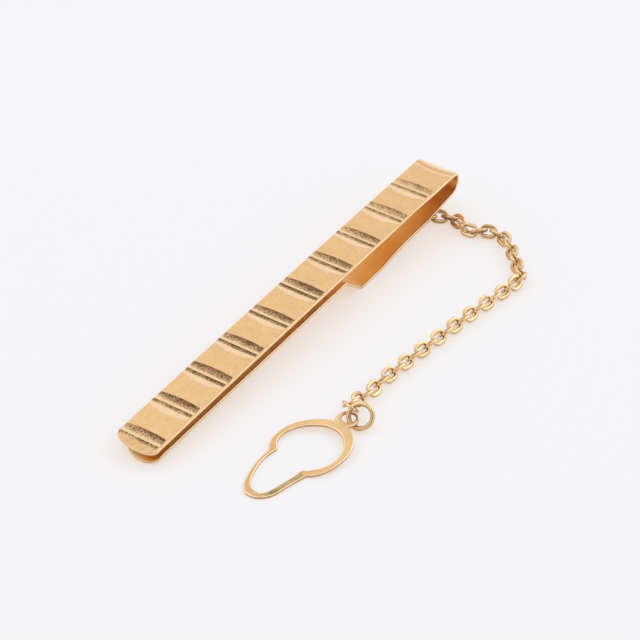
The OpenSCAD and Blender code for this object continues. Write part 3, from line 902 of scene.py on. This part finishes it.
def build_loop():
    mesh = loop_blank()
    bm = bmesh.new()
    bm.from_mesh(mesh)
    bmesh.ops.remove_doubles(bm, verts=bm.verts, dist=MERGE)
    cs, sn = math.cos(SKEW), math.sin(SKEW)
    across = Vector((cs, -sn, 0))
    for d in LOOP_CUTS:
        geom = list(bm.verts) + list(bm.edges) + list(bm.faces)
        bmesh.ops.bisect_plane(bm, geom=geom, plane_co=across * d, plane_no=across, dist=1e-5)
    bm.to_mesh(mesh)
    bm.free()
    co = points_of(mesh)
    x = (cs * co[:, 0] - sn * co[:, 1])[:, None]
    y = (sn * co[:, 0] + cs * co[:, 1])[:, None]
    z = co[:, 2:]
    # tilted before the bend and flat beyond it, with a small radius at the crease
    forward = np.array([math.cos(BEND_HEADING), math.sin(BEND_HEADING), 0.0])
    left = np.array([-math.sin(BEND_HEADING), math.cos(BEND_HEADING), 0.0])
    down_forward = forward * math.cos(LOOP_TILT) - UP * math.sin(LOOP_TILT)
    tilted_up = UP * math.cos(LOOP_TILT) + forward * math.sin(LOOP_TILT)
    tilted = HOLE + x * down_forward + y * left + z * tilted_up
    flat = BEND + (x - BEND_AWAY) * forward + y * left + (z + LOOP_T / 2) * UP
    placed = np.where(x < BEND_AWAY, tilted, flat)
    in_bend = np.clip((x[:, 0] - (BEND_AWAY - BEND_RUN / 2)) / BEND_RUN, 0, 1)
    placed[:, 2] += 0.25 * BEND_RUN * LOOP_TILT * (1 - np.abs(2 * in_bend - 1)) ** 2
    for vertex, point in zip(mesh.vertices, placed):
        vertex.co = tuple(point * MM)
    mesh.materials.clear()
    for mat in (loop_gold, loop_rim, loop_wall):
        mesh.materials.append(mat)
    for poly in mesh.polygons:
        poly.use_smooth = True
        leans = [float(np.dot(np.array(poly.normal), v)) for v in (tilted_up, UP)]
        is_face, is_rim = max(map(abs, leans)) > IS_FACE, max(leans) > IS_RIM
        # the rim takes the painted highlight, the wall the painted dark reflection
        poly.material_index = 0 if is_face else 1 if is_rim else 2
    write_uv(mesh, "surface", np.stack([co[:, 0], co[:, 1] + WALL_UV * co[:, 2]], -1))
    mesh.set_sharp_from_angle(angle=LOOP_SHARP)
    mesh.update()
    obj = add_object("keyhole_loop", mesh)
    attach(obj, "button_loop")
    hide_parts("button_loop")


build_loop()


# ---------------------------------------------------------------- floor, light, camera
FLOOR_HALF, FLOOR_GAP = 0.9, 0.00002
PAPER = (0.915, 0.90, 0.905)
# What the camera sees instead: a cool share that the object shades, over a warm glow, so
# that the paper is pale and its shadow warm, as painted light bounced off the gold
SEEN_SHADED, SEEN_GLOW = (0.20, 0.36, 0.51), (0.722, 0.556, 0.434)


def build_floor():
    half = FLOOR_HALF
    mesh = bpy.data.meshes.new("floor")
    mesh.from_pydata([(-half, -half, 0), (half, -half, 0), (half, half, 0), (-half, half, 0)],
                     [], [(0, 1, 2, 3)])
    floor = add_object("floor", mesh)
    floor.location = (0, 0, cad_box[0][2] - FLOOR_GAP)
    mat, t = new_material("floor_paper")
    paper = t.add("BsdfDiffuse", {"Color": PAPER})
    shaded = t.add("BsdfDiffuse", {"Color": SEEN_SHADED})
    # painted warm bounce light, kept in the shadow
    own = t.add("Emission", {"Color": SEEN_GLOW})
    seen = t.add("AddShader", {0: shaded.outputs[0], 1: own.outputs[0]})
    by_camera = t.add("LightPath").outputs["Is Camera Ray"]
    mix = t.add("MixShader", {0: by_camera, 1: paper.outputs[0], 2: seen.outputs[0]})
    t.add("OutputMaterial", {"Surface": mix.outputs[0]})
    mesh.materials.append(mat)


# An even pale studio with one dim opening, fixed in space where the photograph was taken from
STUDIO, OPENING, STUDIO_LEVEL = (1.0, 0.995, 0.985), (0.34, 0.325, 0.31), 0.90
OPENING_WAY = (-0.679, -0.431, 0.595)
OPENING_EDGE = (0.86, 0.95)


def build_world():
    world = bpy.data.worlds.new("studio")
    bpy.context.scene.world = world
    t = Tree(world)
    toward = t.add("VectorMath", {0: t.add("TexCoord").outputs["Generated"], 1: OPENING_WAY})
    toward.operation = "DOT_PRODUCT"
    colour = t.blend(t.spread(toward.outputs["Value"], *OPENING_EDGE), STUDIO, OPENING)
    sky = t.add("Background", {"Color": colour, "Strength": STUDIO_LEVEL})
    t.add("OutputWorld", {"Surface": sky.outputs["Background"]})


def softbox(name, place, size, power):
    lamp = bpy.data.lights.new(name, "AREA")
    lamp.shape = "SQUARE"
    lamp.size = size
    lamp.energy = power
    lamp.color = (1.0, 0.992, 0.98)
    obj = add_object(name, lamp)
    obj.location = place
    obj.rotation_euler = (-Vector(place)).to_track_quat("-Z", "Y").to_euler()


build_floor()
build_world()
softbox("softbox_back", (-0.08, 0.43, 0.52), 0.6, 0.6)
softbox("softbox_side", (0.45, -0.20, 0.35), 0.42, 0.62)

# The camera as fitted to the photograph: focal length in its pixels, place and axes
FOCAL_PX, PHOTO_PX, SENSOR = 2152.70, 640, 36.0
cam = bpy.data.cameras.new("camera")
cam.sensor_fit = "HORIZONTAL"
cam.sensor_width = SENSOR
cam.lens = FOCAL_PX / PHOTO_PX * SENSOR
cam.clip_start = 0.01
cam.clip_end = 10
cam_obj = add_object("camera", cam)
right = Vector((0.55656, -0.83011, 0.03406)).normalized()
back = Vector((-0.67884, -0.43074, 0.59467)).normalized()
up = back.cross(right).normalized()
right = up.cross(back).normalized()
turned = Matrix((right, up, back)).transposed().to_4x4()
cam_obj.matrix_world = Matrix.Translation((-0.18120505, -0.10943584, 0.160012)) @ turned
bpy.context.scene.camera = cam_obj

view = bpy.context.scene.view_settings
view.view_transform = "Standard"
